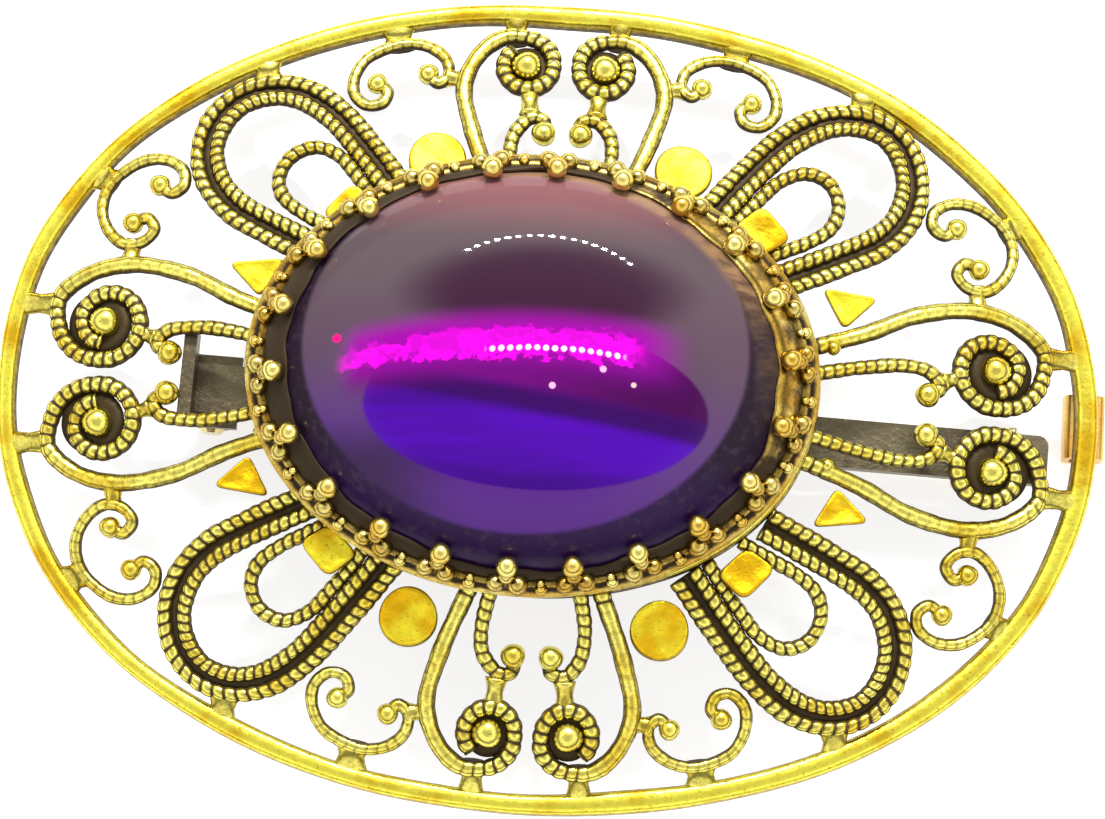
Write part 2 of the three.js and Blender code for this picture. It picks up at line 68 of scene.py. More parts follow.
# ---- Meshes ---------------------------------------------------------------------

class Build:
    """Gathers surfaces in millimetres. Each point gets a darkness from 0, rubbed bright, to 1, left
    dark by antiquing and by painted shade.
    """

    def __init__(self):
        self.points = []
        self.patina_and_painted_shade = []
        self.faces = []
        self.count = 0

    def add(self, points, faces, patina_and_painted_shade):
        points = np.asarray(points, float).reshape(-1, 3)
        self.points.append(points)
        self.patina_and_painted_shade.append(np.broadcast_to(np.asarray(patina_and_painted_shade, float).ravel(), (len(points),)))
        self.faces += [tuple(i + self.count for i in face) for face in faces]
        self.count += len(points)

    def make(self, name, node, material, slot, body="brooch", shift=(0, 0), smooth=True):
        points = np.concatenate(self.points) + np.array([shift[0], shift[1], LIFT])
        mesh = bpy.data.meshes.new(name)
        mesh.from_pydata((points * MM).tolist(), [], self.faces)
        patina_and_painted_shade = np.clip(np.concatenate(self.patina_and_painted_shade), 0, 1).astype(np.float32)
        mesh.attributes.new("patina_and_painted_shade", "FLOAT", "POINT").data.foreach_set("value", patina_and_painted_shade)
        mesh.polygons.foreach_set("use_smooth", [smooth] * len(mesh.polygons))
        mesh.materials.append(material)
        mesh.validate()
        thing = bpy.data.objects.new(name, mesh)
        bpy.context.scene.collection.objects.link(thing)
        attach(thing, body)
        if node:
            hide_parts(node)
        return thing


def grid_faces(rows, columns, wrap_columns=True, wrap_rows=False, flip=False):
    faces = []
    for i in range(rows if wrap_rows else rows - 1):
        below = (i + 1) % rows
        for j in range(columns if wrap_columns else columns - 1):
            right = (j + 1) % columns
            face = (i * columns + j, i * columns + right,
                    below * columns + right, below * columns + j)
            faces.append(face[::-1] if flip else face)
    return faces


def smooth_step(x, low, high):
    t = np.clip((np.asarray(x, float) - low) / (high - low), 0, 1)
    return t * t * (3 - 2 * t)


def dome_height(x, y):
    return DOME_LEVEL + DOME_RISE * (1 - (2 * x / RIM_LENGTH) ** 2 - (2 * y / RIM_WIDTH) ** 2)


def dome_normal(x, y):
    slope = np.stack([
        8 * DOME_RISE * x / RIM_LENGTH ** 2, 8 * DOME_RISE * y / RIM_WIDTH ** 2, np.ones_like(x),
    ], -1)
    return slope / np.linalg.norm(slope, axis=-1, keepdims=True)


def from_ring(point, clearance=-0.2):
    """Where a wire that heads for the point leaves the base ring."""
    reach = math.hypot(point[0] / (RING_A + clearance), point[1] / (RING_B + clearance))
    return (point[0] / reach, point[1] / reach)


def spiral(eye, start, sweep, radii, count):
    """Points winding in round the eye. The radii are spread evenly over the sweep."""
    points = []
    for i in range(count):
        share = i / (count - 1)
        angle = math.radians(start + sweep * share)
        r = float(np.interp(share, np.linspace(0, 1, len(radii)), radii))
        points.append((eye[0] + r * math.cos(angle), eye[1] + r * math.sin(angle)))
    return points


class Path:
    """A smooth wire centreline over the dome, cut into even steps, with a frame at each."""

    def __init__(self, points, step, wobble=0.0, seed=0.0, lift=0.0):
        flat = np.array(points, float)
        ends = np.vstack([2 * flat[0] - flat[1], flat, 2 * flat[-1] - flat[-2]])
        fine = [self.span(ends[i:i + 4]) for i in range(len(flat) - 1)]
        line = np.vstack(fine + [flat[-1:]])
        if wobble:
            t = np.linspace(0, 1, len(line))
            line[:, 0] += wobble * np.sin(9 * t + 5 * seed) * np.sin(math.pi * t)
            line[:, 1] += wobble * np.sin(11 * t + 3 * seed) * np.sin(math.pi * t)
        line = np.column_stack([line, dome_height(line[:, 0], line[:, 1]) + lift])
        run = np.concatenate([[0], np.cumsum(np.linalg.norm(np.diff(line, axis=0), axis=1))])
        count = max(8, int(run[-1] / step))
        self.s = np.linspace(0, run[-1], count)
        self.p = np.column_stack([np.interp(self.s, run, line[:, k]) for k in range(3)])
        self.length = run[-1]
        tangent = np.gradient(self.p, axis=0)
        tangent /= np.linalg.norm(tangent, axis=1, keepdims=True)
        side = np.cross(tangent, dome_normal(self.p[:, 0], self.p[:, 1]))
        self.side = side / np.linalg.norm(side, axis=1, keepdims=True)
        self.up = np.cross(self.side, tangent)

    @staticmethod
    def span(four, pieces=24):
        """Centripetal Catmull-Rom between the middle two of four points."""
        p0, p1, p2, p3 = four
        t1 = math.sqrt(max(np.linalg.norm(p1 - p0), 1e-6))
        t2 = t1 + math.sqrt(max(np.linalg.norm(p2 - p1), 1e-6))
        t3 = t2 + math.sqrt(max(np.linalg.norm(p3 - p2), 1e-6))
        t = np.linspace(t1, t2, pieces, endpoint=False)[:, None]
        a1 = p0 * (t1 - t) / t1 + p1 * t / t1
        a2 = p1 * (t2 - t) / (t2 - t1) + p2 * (t - t1) / (t2 - t1)
        a3 = p2 * (t3 - t) / (t3 - t2) + p3 * (t - t2) / (t3 - t2)
        b1 = a1 * (t2 - t) / t2 + a2 * t / t2
        b2 = a2 * (t3 - t) / (t3 - t1) + a3 * (t - t1) / (t3 - t1)
        return b1 * (t2 - t) / (t2 - t1) + b2 * (t - t1) / (t2 - t1)


def wire(build, path, radius, beaded=1.0, offset=0.0, depth=0.26, skew=0.3, sides=14, dark=0.0,
         pitch=BEAD_PITCH):
    """A wire along the path. beaded, 0 for smooth to 1 for full beads, may vary along it."""
    rows = len(path.s)
    around = np.linspace(0, 2 * math.pi, sides, endpoint=False)
    c, s = np.cos(around)[None, :], np.sin(around)[None, :]
    beaded = np.broadcast_to(np.asarray(beaded, float), (rows,))[:, None]
    phase = 2 * ((path.s[:, None] / pitch + skew * c * 0.5) % 1) - 1
    bump = np.sqrt(1 - (0.985 * phase) ** 2)
    worn = (1 + 0.035 * np.sin(path.s[:, None] * 2.3 + offset * 7)
            + 0.02 * np.sin(path.s[:, None] * 5.9))
    r = radius * worn * (
        1 - beaded * depth * (1 - bump) * (0.35 + 0.65 * smooth_step(s, -0.6, 0.3)))
    points = (
        path.p[:, None, :]
        + path.side[:, None, :] * (offset + r * c)[..., None]
        + path.up[:, None, :] * (r * s * 0.96)[..., None]
    )
    # Painted shade: the underside of the wire dark, and the notches between the beads dark with
    # painted shade and antiquing.
    low = 0.95 * smooth_step(-s, -0.72, -0.05)
    notch = 0.9 * beaded * smooth_step(1 - bump, 0.16, 0.6)
    patina_and_painted_shade = np.clip(low + notch + dark, 0, 1)
    faces = grid_faces(rows, sides, flip=True)
    faces.append(tuple(range(sides)))
    faces.append(tuple(range((rows - 1) * sides, rows * sides))[::-1])
    build.add(points, faces, patina_and_painted_shade)


def web_strip(build, path, half, top, bottom, dark):
    """A thin flat strip along the path, below the tops of the wires beside it, darkened as painted
    shade between them.
    """
    rows = len(path.s)
    section = np.array([(-half, top), (half, top), (half, bottom), (-half, bottom)])
    ripple = 0.02 * np.sin(path.s * 3.1) + 0.015 * np.sin(path.s * 7.7)
    points = (
        path.p[:, None, :]
        + path.side[:, None, :] * section[None, :, 0, None]
        + path.up[:, None, :] * (section[None, :, 1] + ripple[:, None])[..., None]
    )
    faces = grid_faces(rows, 4, flip=False)
    faces.append((3, 2, 1, 0))
    faces.append(tuple((rows - 1) * 4 + k for k in range(4)))
    build.add(points, faces, dark)


def ball(build, centre, radius, squash=1.0, rows=12, columns=20, shade=0.0):
    """A granule with painted shade: bright on top, dark where it meets what it sits on."""
    lat = np.linspace(-math.pi / 2, math.pi / 2, rows)[:, None]
    lon = np.linspace(0, 2 * math.pi, columns, endpoint=False)[None, :]
    uneven = 1 + 0.03 * np.sin(3 * lon + centre[0]) * np.cos(lat)
    x = np.cos(lat) * np.cos(lon) * uneven
    y = np.cos(lat) * np.sin(lon) * uneven
    z = np.sin(lat) * squash * np.ones_like(lon)
    points = np.stack([x, y, z], -1) * radius + np.array(centre)
    low = smooth_step(-np.sin(lat), -0.35, 0.35) * np.ones_like(lon)
    build.add(points, grid_faces(rows, columns), np.clip(low + shade, 0, 1))


def limb(build, start, end, side, radii, wide, shade, under=0.0, sides=12, rows=9):
    """A short bar from start to end, wide times broader across side than it is thick."""
    start, end, side = (np.array(v, float) for v in (start, end, side))
    along = end - start
    along_unit = along / np.linalg.norm(along)
    side = side / np.linalg.norm(side)
    out = np.cross(along_unit, side)
    t = np.linspace(0, 1, rows)
    r = np.interp(t, np.linspace(0, 1, len(radii)), radii)
    around = np.linspace(0, 2 * math.pi, sides, endpoint=False)
    points = (
        start + along * t[:, None, None]
        + side * (r[:, None] * wide * np.cos(around)[None, :])[..., None]
        + out * (r[:, None] * np.sin(around)[None, :])[..., None]
    )
    # Painted shade: darker along the bar as shade gives, and on its underside as under gives.
    low = under * smooth_step(np.sin(around), -0.25, 0.6)[None, :]
    shades = np.interp(t, np.linspace(0, 1, len(shade)), shade)[:, None] + low
    faces = grid_faces(rows, sides)
    faces.append(tuple(range(sides))[::-1])
    faces.append(tuple(range((rows - 1) * sides, rows * sides)))
    build.add(points, faces, shades)


def on_dome(x, y, lift=0.0):
    return (x, y, float(dome_height(x, y)) + lift)


def lathe(build, profile, segments, aspect, patina_and_painted_shade, wobble=0.0):
    """Turns (radius, height) rows about Z, flattened to an oval. The darkness, antiquing and
    painted shade, may vary by row.
    """
    around = np.linspace(0, 2 * math.pi, segments, endpoint=False)
    rows = np.array([(r, z) for r, z in profile], float)
    waves = 1 + wobble * (np.sin(5 * around + 1) + 0.6 * np.sin(11 * around))
    x = rows[:, 0, None] * np.cos(around)[None, :] * waves
    y = rows[:, 0, None] * np.sin(around)[None, :] * waves * aspect
    z = np.repeat(rows[:, 1, None], segments, 1)
    shade = np.repeat(
        np.broadcast_to(np.asarray(patina_and_painted_shade, float), (len(rows),))[:, None], segments, 1)
    build.add(np.stack([x, y, z], -1), grid_faces(len(rows), segments), shade)


# ---- Materials -------------------------------------------------------------------

class Surface:
    """A small wrapper round a Principled material's node tree."""

    def __init__(self, name):
        self.material = bpy.data.materials.new(name)
        self.material.use_nodes = True
        self.tree = self.material.node_tree
        self.tree.nodes.clear()
        self.output = self.tree.nodes.new("ShaderNodeOutputMaterial")
        self.bsdf = self.tree.nodes.new("ShaderNodeBsdfPrincipled")
        self.tree.links.new(self.bsdf.outputs[0], self.output.inputs[0])
        self.where = self.tree.nodes.new("ShaderNodeTexCoord").outputs["Object"]

    def plug(self, value, socket):
        if isinstance(value, bpy.types.NodeSocket):
            self.tree.links.new(value, socket)
        elif isinstance(value, tuple) and len(value) == 3 and socket.type == "RGBA":
            socket.default_value = (*value, 1)
        else:
            socket.default_value = value

    def set(self, **values):
        for name, value in values.items():
            self.plug(value, self.bsdf.inputs[name.replace("_", " ")])

    def math(self, operation, a, b=0.0, c=0.0, clamp=False):
        node = self.tree.nodes.new("ShaderNodeMath")
        node.operation = operation
        node.use_clamp = clamp
        for value, socket in zip((a, b, c), node.inputs):
            self.plug(value, socket)
        return node.outputs[0]

    def step(self, value, low, high, start=0.0, end=1.0):
        node = self.tree.nodes.new("ShaderNodeMapRange")
        node.interpolation_type = "SMOOTHSTEP"
        for item, socket in zip((value, low, high, start, end), node.inputs):
            self.plug(item, socket)
        return node.outputs[0]

    def blend(self, factor, a, b):
        node = self.tree.nodes.new("ShaderNodeMix")
        node.data_type = "RGBA"
        self.plug(factor, node.inputs[0])
        self.plug(a, node.inputs[6])
        self.plug(b, node.inputs[7])
        return node.outputs[2]

    def stretch(self, scale, turn=0.0):
        node = self.tree.nodes.new("ShaderNodeMapping")
        self.plug(self.where, node.inputs[0])
        node.inputs["Rotation"].default_value = (0, 0, turn)
        node.inputs["Scale"].default_value = scale
        return node.outputs[0]

    def noise(self, scale, detail=3.0, rough=0.55, vector=None, distort=0.0):
        node = self.tree.nodes.new("ShaderNodeTexNoise")
        self.plug(vector or self.where, node.inputs["Vector"])
        node.inputs["Scale"].default_value = scale
        node.inputs["Detail"].default_value = detail
        node.inputs["Roughness"].default_value = rough
        node.inputs["Distortion"].default_value = distort
        return node.outputs[0]

    def cells(self, scale, vector=None):
        node = self.tree.nodes.new("ShaderNodeTexVoronoi")
        self.plug(vector or self.where, node.inputs["Vector"])
        node.inputs["Scale"].default_value = scale
        return node.outputs["Distance"]

    def attribute(self, name):
        node = self.tree.nodes.new("ShaderNodeAttribute")
        node.attribute_name = name
        return node.outputs["Fac"]

    def bump(self, height, strength, distance):
        node = self.tree.nodes.new("ShaderNodeBump")
        node.inputs["Strength"].default_value = strength
        node.inputs["Distance"].default_value = distance
        self.plug(height, node.inputs["Height"])
        self.plug(node.outputs[0], self.bsdf.inputs["Normal"])

    def axes(self):
        node = self.tree.nodes.new("ShaderNodeSeparateXYZ")
        self.plug(self.where, node.inputs[0])
        return node.outputs[0], node.outputs[1], node.outputs[2]


def plated_metal(name, bright, warm, shade, patina_and_shade_colour, rough=0.24, patina_and_shade_from=0.3, patina_and_shade_to=0.75,
                 pits=0.12, patchy=0.45):
    """Gilt metal with brown antiquing left in the recesses and rubbed off the tops, and painted
    shade on undersides, sides and creases, both read from the stored darkness.
    """
    s = Surface(name)
    patina_and_painted_shade = s.attribute("patina_and_painted_shade")
    patches = s.noise(330, 3, 0.6)
    grain = s.noise(2900, 4, 0.65)
    specks = s.noise(7800, 2, 0.5)
    uneven = s.math("MULTIPLY_ADD", grain, 0.62, -0.31)
    # Antiquing and painted shade: the stored darkness, broken up by grain, turns the metal the
    # shade colour midway and the dark colour at its deepest.
    patina_and_shade_mask = s.step(s.math("ADD", patina_and_painted_shade, uneven), patina_and_shade_from, patina_and_shade_to)
    halfway = s.step(s.math("ADD", patina_and_painted_shade, uneven), patina_and_shade_from - 0.3, patina_and_shade_from + 0.1)
    body = s.blend(s.step(patches, patchy, patchy + 0.2), bright, warm)
    body = s.blend(s.math("MULTIPLY", s.step(specks, 0.6, 0.7), 0.55), body, shade)
    body = s.blend(s.math("MULTIPLY", halfway, 0.8), body, shade)
    s.set(Base_Color=s.blend(patina_and_shade_mask, body, patina_and_shade_colour))
    s.set(Metallic=s.step(patina_and_shade_mask, 0.0, 1.0, 1.0, 0.5), Specular_IOR_Level=0.3)
    worn = s.math("MULTIPLY_ADD", grain, 0.22, rough - 0.11)
    s.set(Roughness=s.math("MULTIPLY_ADD", patina_and_shade_mask, 0.32, worn, clamp=True))
    s.bump(s.math("MULTIPLY_ADD", grain, 0.7, s.math("MULTIPLY", patches, 0.5)),
           pits * 3, 0.00006)
    return s.material


def stone_glass():
    """Violet glass over foil, painted as seen from the front, its reflections and glints painted
    in: a magenta band of painted light off the foil over a blue pool.
    """
    s = Surface("violet_glass_over_foil")
    x, y, _ = s.axes()
    u = s.math("MULTIPLY_ADD", x, 1 / MM, -SET_X)
    v = s.math("MULTIPLY_ADD", y, 1 / MM, -SET_Y)
    cloud = s.noise(420, 4, 0.6)
    fine = s.noise(2300, 3, 0.6)

    def oval(cx, cy, a, b, edge, tilt=0.0):
        du = s.math("SUBTRACT", u, cx)
        dv = s.math("SUBTRACT", s.math("MULTIPLY_ADD", du, -tilt, v), cy)
        du = s.math("DIVIDE", du, a)
        dv = s.math("DIVIDE", dv, b)
        reach = s.math("ADD", s.math("MULTIPLY", du, du), s.math("MULTIPLY", dv, dv))
        return s.step(reach, 1 + edge, 1 - edge)

    # The body: dull at the edge; over the middle a painted reflection of the bright ceiling, cloudy
    # lilac above and violet below, with painted shade to the lower left.
    dust = s.step(fine, 0.5, 0.72)
    edge_dark = s.blend(s.step(v, -3.0, -6.5), (0.016, 0.006, 0.018), (0.025, 0.005, 0.060))
    strip = s.blend(s.math("MULTIPLY", dust, 0.5), edge_dark, (0.07, 0.035, 0.075))
    low_violet = s.blend(s.step(v, -5.5, 1.0), (0.108, 0.023, 0.262), (0.11, 0.062, 0.10))
    upper = s.blend(s.step(v, 5.2, 8.4), (0.118, 0.084, 0.094), (0.28, 0.115, 0.125))
    glass_and_painted_reflection = s.blend(s.step(v, 0.5, 4.6), low_violet, upper)
    glass_and_painted_reflection = s.blend(s.math("MULTIPLY", s.step(u, 2.0, 9.5), 0.35), glass_and_painted_reflection, (0.14, 0.085, 0.11))
    glass_and_painted_reflection = s.blend(s.math("MULTIPLY", s.step(u, -2.0, -7.0), s.step(v, -2.5, -5.0)),
                    glass_and_painted_reflection, (0.045, 0.014, 0.085))
    # body marks the oval of the painted reflection; outside it lies the dull edge strip.
    body = oval(-0.35, 0.72, 10.1, 8.5, 0.03)
    colour = s.blend(body, strip, glass_and_painted_reflection)

    # A dark patch in the upper middle, over the band.
    colour = s.blend(s.math("MULTIPLY", oval(0.5, 3.1, 6.0, 2.2, 0.6, 0.03), 0.9),
                     colour, (0.040, 0.006, 0.030))

    # The blue pool and the dark line above it.
    streak = s.noise(150, 3, 0.5, s.stretch((0.35, 3.4, 1), -0.16))
    pool = oval(0.28, -2.25, 7.75, 3.65, 0.03)
    blue = s.blend(s.step(streak, 0.40, 0.62), (0.058, 0.0, 0.27), (0.085, 0.0, 0.45))
    blue = s.blend(s.step(v, -4.9, -6.3), blue, (0.045, 0.0, 0.22))
    purple = s.blend(s.step(u, -3.0, 6.5), (0.17, 0.0, 0.20), (0.060, 0.0, 0.075))
    tilted = s.math("MULTIPLY_ADD", u, 0.13, v)
    inside = s.blend(s.step(tilted, -2.3, -1.1), blue, purple)
    seam = s.math("MULTIPLY", s.step(tilted, -2.75, -2.15), s.step(tilted, -1.1, -1.8))
    inside = s.blend(s.math("MULTIPLY", seam, 0.9), inside, (0.034, 0.0, 0.095))
    colour = s.blend(pool, colour, inside)

    # The band where light comes back off the foil: a ragged sparkling arc in a magenta glow.
    off = s.math("SUBTRACT", u, 1.0)
    arc = s.math("MULTIPLY_ADD", s.math("MULTIPLY", off, off), -0.0135, 0.68)
    rise = s.math("SUBTRACT", v, arc)
    sparkle = s.noise(1500, 3, 0.6)
    ragged = s.math("MULTIPLY_ADD", sparkle, 1.7, s.math("SUBTRACT", rise, 0.85))
    starts = s.step(u, -9.0, -7.7)
    hot_ends = s.math("MULTIPLY", starts, s.step(u, 5.3, 4.1))
    glow_ends = s.math("MULTIPLY", starts, s.step(u, 7.6, 4.6))
    thick = s.step(u, -8.5, -2.5, 0.32, 0.62)
    above = s.step(s.math("SUBTRACT", ragged, thick), 0.12, -0.12)
    beneath = s.step(s.math("ADD", ragged, thick), -0.12, 0.12)
    hot = s.math("MULTIPLY", s.math("MULTIPLY", above, beneath), hot_ends)
    glow = s.math("MULTIPLY", s.math("MULTIPLY", s.step(rise, 1.9, 0.6), s.step(rise, -2.1, -0.7)),
                  glow_ends)
    colour = s.blend(glow, colour, s.blend(
        s.step(rise, -1.6, 0.2), (0.15, 0.0, 0.19), (0.34, 0.0, 0.36)))
    colour = s.blend(hot, colour, s.blend(
        s.step(sparkle, 0.42, 0.58), (0.66, 0.0, 0.62), (1.25, 0.0, 1.0)))

    # Painted glints: a second row of lamp glints off the foil, and a few stray glints.
    row = s.math("MULTIPLY_ADD", s.math("MULTIPLY", off, off), 0.02, s.math("SUBTRACT", v, 0.42))
    uneven_row = s.math("MULTIPLY_ADD", cloud, 0.22, s.math("SUBTRACT", row, 0.11))
    cell = s.math("FRACT", s.math("MULTIPLY", u, 2.5))
    across = s.math("MULTIPLY", s.math("SUBTRACT", cell, 0.5), 0.4)
    reach = s.math(
        "ADD", s.math("MULTIPLY", across, across), s.math("MULTIPLY", uneven_row, uneven_row))
    dots = s.step(reach, 0.026, 0.008)
    dots = s.math("MULTIPLY", dots, s.math("MULTIPLY", s.step(u, -2.2, -1.7), s.step(u, 4.3, 3.8)))
    colour = s.blend(s.math("MULTIPLY", dots, s.step(fine, 0.3, 0.5, 0.55, 1.0)),
                     colour, (1.6, 1.1, 1.55))
    for du, dv, size, tint in [
        (-8.85, 0.55, 0.2, (1.2, 0.0, 0.25)), (0.97, -1.26, 0.15, (1.3, 0.5, 0.9)),
        (3.2, -0.38, 0.15, (1.2, 0.5, 0.9)), (4.6, -1.0, 0.12, (1.1, 0.6, 0.6)),
    ]:
        colour = s.blend(oval(du, dv, size, size, 0.4), colour, tint)

    # The rim of the setting, painted as its reflection in the top edge of the glass.
    grain = s.noise(700, 3, 0.6, s.stretch((0.7, 2.2, 1), -0.25))
    inner_edge = s.math("SUBTRACT", 1.0, oval(-0.55, 0.1, 10.7, 8.75, 0.05, -0.03))
    top_edge = s.step(s.math("MULTIPLY_ADD", u, 0.3, v), 4.5, 7.5)
    side = s.math("MULTIPLY", s.step(s.math("MULTIPLY_ADD", u, 0.55, v), 3.0, 6.0),
                  s.step(grain, 0.35, 0.6, 0.35, 1.0))
    brown = s.blend(top_edge, (0.085, 0.052, 0.036), (0.36, 0.205, 0.10))
    colour = s.blend(s.math("MULTIPLY", inner_edge, side), colour, brown)

    s.set(Base_Color=s.blend(0.31, colour, (0.0, 0.0, 0.0)), Metallic=0.0)
    s.set(Roughness=s.math("MULTIPLY_ADD", body, -0.28, s.step(cloud, 0.2, 0.9, 0.295, 0.315)))
    s.set(IOR=1.55, Specular_IOR_Level=0.14, Coat_Weight=0.0)
    # Painted glow: the painted colour, reflections and glints with it, is also given off faintly as
    # light.
    s.set(Emission_Color=colour, Emission_Strength=0.05)
    scuffs = s.noise(1200, 3, 0.6, s.stretch((1.6, 0.5, 1), 0.6))
    s.bump(scuffs, 0.02, 0.00002)
    return s.material


# The gold, crown, rim and plaque metals paint shade as well as antiquing from the darkness stored
# on the built meshes; the CAD parts store none.
GOLD = plated_metal(
    "antiqued_gold_with_painted_shade", (0.93, 0.84, 0.17), (0.80, 0.60, 0.06), (0.25, 0.17, 0.022),
    (0.052, 0.034, 0.012),
    patina_and_shade_from=0.22, patina_and_shade_to=0.56,
)
CROWN = plated_metal(
    "antiqued_crown_gold_with_painted_shade", (0.92, 0.80, 0.24), (0.74, 0.47, 0.07), (0.30, 0.16, 0.022),
    (0.040, 0.024, 0.010),
    patina_and_shade_from=0.38, patina_and_shade_to=0.7, patchy=0.42,
)
BRIGHT = plated_metal(
    "rubbed_gold_with_painted_shade", (0.98, 0.87, 0.09), (0.80, 0.50, 0.02), (0.36, 0.23, 0.02), (0.085, 0.055, 0.02),
    rough=0.30, patina_and_shade_from=0.42, patina_and_shade_to=0.9, pits=0.2, patchy=0.46,
)
PLAQUE = plated_metal(
    "satin_gold", (0.94, 0.80, 0.04), (0.80, 0.47, 0.01), (0.44, 0.25, 0.02), (0.085, 0.055, 0.02),
    rough=0.42, patina_and_shade_from=0.5, patina_and_shade_to=0.95, pits=0.3, patchy=0.41,
)
COPPERY = plated_metal(
    "copper_toned_gilt", (0.86, 0.56, 0.14), (0.80, 0.42, 0.09), (0.34, 0.18, 0.05),
    (0.06, 0.035, 0.02), rough=0.34,
)
BRASS = plated_metal(
    "tarnished_brass", (0.20, 0.165, 0.10), (0.14, 0.11, 0.07), (0.30, 0.27, 0.12),
    (0.035, 0.03, 0.022),
    rough=0.38, pits=0.25,
)
STEEL = plated_metal(
    "gilt_pin_wire", (0.86, 0.74, 0.38), (0.80, 0.66, 0.30), (0.42, 0.33, 0.16),
    (0.10, 0.075, 0.05), rough=0.18,
)
GLASS = stone_glass()


def foil_material():
    s = Surface("crinkled_violet_foil")
    creases = s.cells(420)
    grain = s.noise(2400, 3, 0.6)
    s.set(Base_Color=s.blend(s.step(creases, 0.05, 0.5), (0.62, 0.45, 0.85), (0.42, 0.24, 0.66)))
    s.set(Metallic=1.0, Roughness=s.step(grain, 0.3, 0.7, 0.12, 0.3))
    s.bump(creases, 0.4, 0.00008)
    return s.material


FOIL = foil_material()

# ---- Rim --------------------------------------------------------------------------

def oval_rail(build, a, b, power, band, bottom, top, count, hand, worn=0.0, shade_low=0.5):
    """A closed oval band with a rounded section, slightly uneven as hand-bent stock is."""
    t = np.linspace(0, 2 * math.pi, count, endpoint=False)
    c, s = np.cos(t), np.sin(t)
    reach = (np.abs(c) ** power + np.abs(s) ** power) ** (-1 / power)
    x, y = a * reach * c, b * reach * s
    kink = hand * (
        0.5 * np.sin(7 * t + 0.7) + 0.3 * np.sin(13 * t + 2.1) + 0.2 * np.sin(23 * t) - 1)
    out = np.column_stack([np.gradient(np.concatenate([y[-1:], y, y[:1]]))[1:-1],
                           -np.gradient(np.concatenate([x[-1:], x, x[:1]]))[1:-1]])
    out /= np.linalg.norm(out, axis=1, keepdims=True)
    half, tall = band / 2, top - bottom
    section = [
        (-half, 0.12 * tall), (-half * 0.99, 0.5 * tall), (-half * 0.92, 0.75 * tall),
        (-half * 0.76, 0.91 * tall), (-half * 0.42, 0.985 * tall), (0, tall),
        (half * 0.42, 0.985 * tall), (half * 0.76, 0.91 * tall), (half * 0.92, 0.75 * tall),
        (half * 0.99, 0.5 * tall), (half, 0.12 * tall), (half * 0.88, 0), (-half * 0.88, 0),
    ]
    # Painted shade: the section dark down its sides, the inner side most, and bright along its top;
    # shade_low darkens the underside.
    shade = [0.9, 0.8, 0.6, 0.25, 0.03, 0, 0.03, 0.12, 0.4, 0.6, 0.7, shade_low, shade_low]
    swell = 1 + 0.04 * np.sin(9 * t + 1.3) + 0.03 * np.sin(17 * t) - worn * (1 - np.cos(t)) / 2
    rings = []
    for u, v in section:
        along = (u - half) * np.minimum(swell, 1.0) + kink
        rings.append(np.column_stack(
            [x + out[:, 0] * along, y + out[:, 1] * along, np.full(count, bottom + v)]))
    points = np.stack(rings, 1)
    faces = grid_faces(count, len(section), wrap_rows=True)
    build.add(points, faces, np.tile(shade, (count, 1)))


rim = Build()
oval_rail(rim, RIM_LENGTH / 2, RIM_WIDTH / 2, RIM_POWER, RIM_BAND, 0.0, RIM_THICK, 360, 0.05,
          worn=0.18)
rim.make("rim_rail", "rim", BRIGHT, "polished_gold")

ring = Build()
oval_rail(ring, RING_A, RING_B, 2, RING_BAND, RING_BOTTOM, RING_TOP, 240, 0.02)
for x, y, r in [(13.05, 2.75, 0.36), (13.0, -2.75, 0.36), (-13.05, 2.8, 0.34), (-13.0, -2.7, 0.36)]:
    ball(ring, on_dome(x, y, 0.12), r)
ring.make("base_ring_rail", "base_ring", GOLD, "antique_gold")

# ---- Filigree ----------------------------------------------------------------------

STEP = 0.072
CORNER = [
    from_ring((7.4, 9.0), 0.1), (9.2, 11.3), (10.6, 12.8), (12.1, 13.8), (13.8, 14.1),
    (15.3, 13.6), (16.3, 12.4), (16.6, 10.8), (16.1, 9.2), (15.0, 8.0), (13.4, 7.1),
    from_ring((11.2, 6.1), 0.1),
]
INNER_LOOP = [
    from_ring((8.4, 8.2), 0.0), (9.3, 9.6), (10.3, 10.7), (11.5, 11.15), (12.6, 10.7),
    (13.1, 9.6), (12.8, 8.6), (11.8, 7.8), (10.7, 7.25), from_ring((9.9, 7.0), 0.0),
]
SIDE_EYE = (20.72, 2.38)
SIDE_STEM = [
    from_ring((13.2, 2.9)), (14.6, 3.6), (17.0, 4.7), (19.8, 5.15), (21.8, 4.6), (23.0, 3.5),
]
CREST_EYE = (1.84, 15.72)
CREST_STEM = [from_ring((3.3, 10.2)), (4.2, 12.3), (4.7, 14.6), (4.0, 16.4), (2.9, 17.25)]
SIDE_SCROLL = [
    from_ring((13.0, 1.55)), (14.6, 2.0), (16.3, 2.2), (17.7, 2.0), (18.15, 1.35), (17.55, 0.94),
]
CREST_SCROLL = [
    from_ring((2.2, 10.0)), (2.35, 11.1), (2.2, 12.3), (1.5, 13.05), (0.85, 12.9), (0.86, 12.25),
]
SIDE_C = [
    (19.8, 7.2), (19.15, 7.45), (18.75, 6.9), (19.2, 6.3), (20.1, 6.15), (20.95, 6.8),
    (21.4, 7.9), (21.2, 9.0), (20.5, 9.8), (19.5, 10.35), (18.4, 10.35), (17.6, 9.8),
    (17.55, 9.1), (18.1, 8.7), (18.7, 9.1),
]
CREST_C = [
    (8.8, 14.5), (8.3, 14.1), (8.5, 13.5), (9.2, 13.35), (9.85, 13.9), (9.95, 14.8),
    (9.5, 15.8), (8.6, 16.4), (7.5, 16.7), (6.4, 16.5), (5.65, 15.9), (5.5, 15.1),
    (5.95, 14.65), (6.45, 15.1),
]


def flipped(points, sx, sy):
    return [(sx * x, sy * y) for x, y in points]


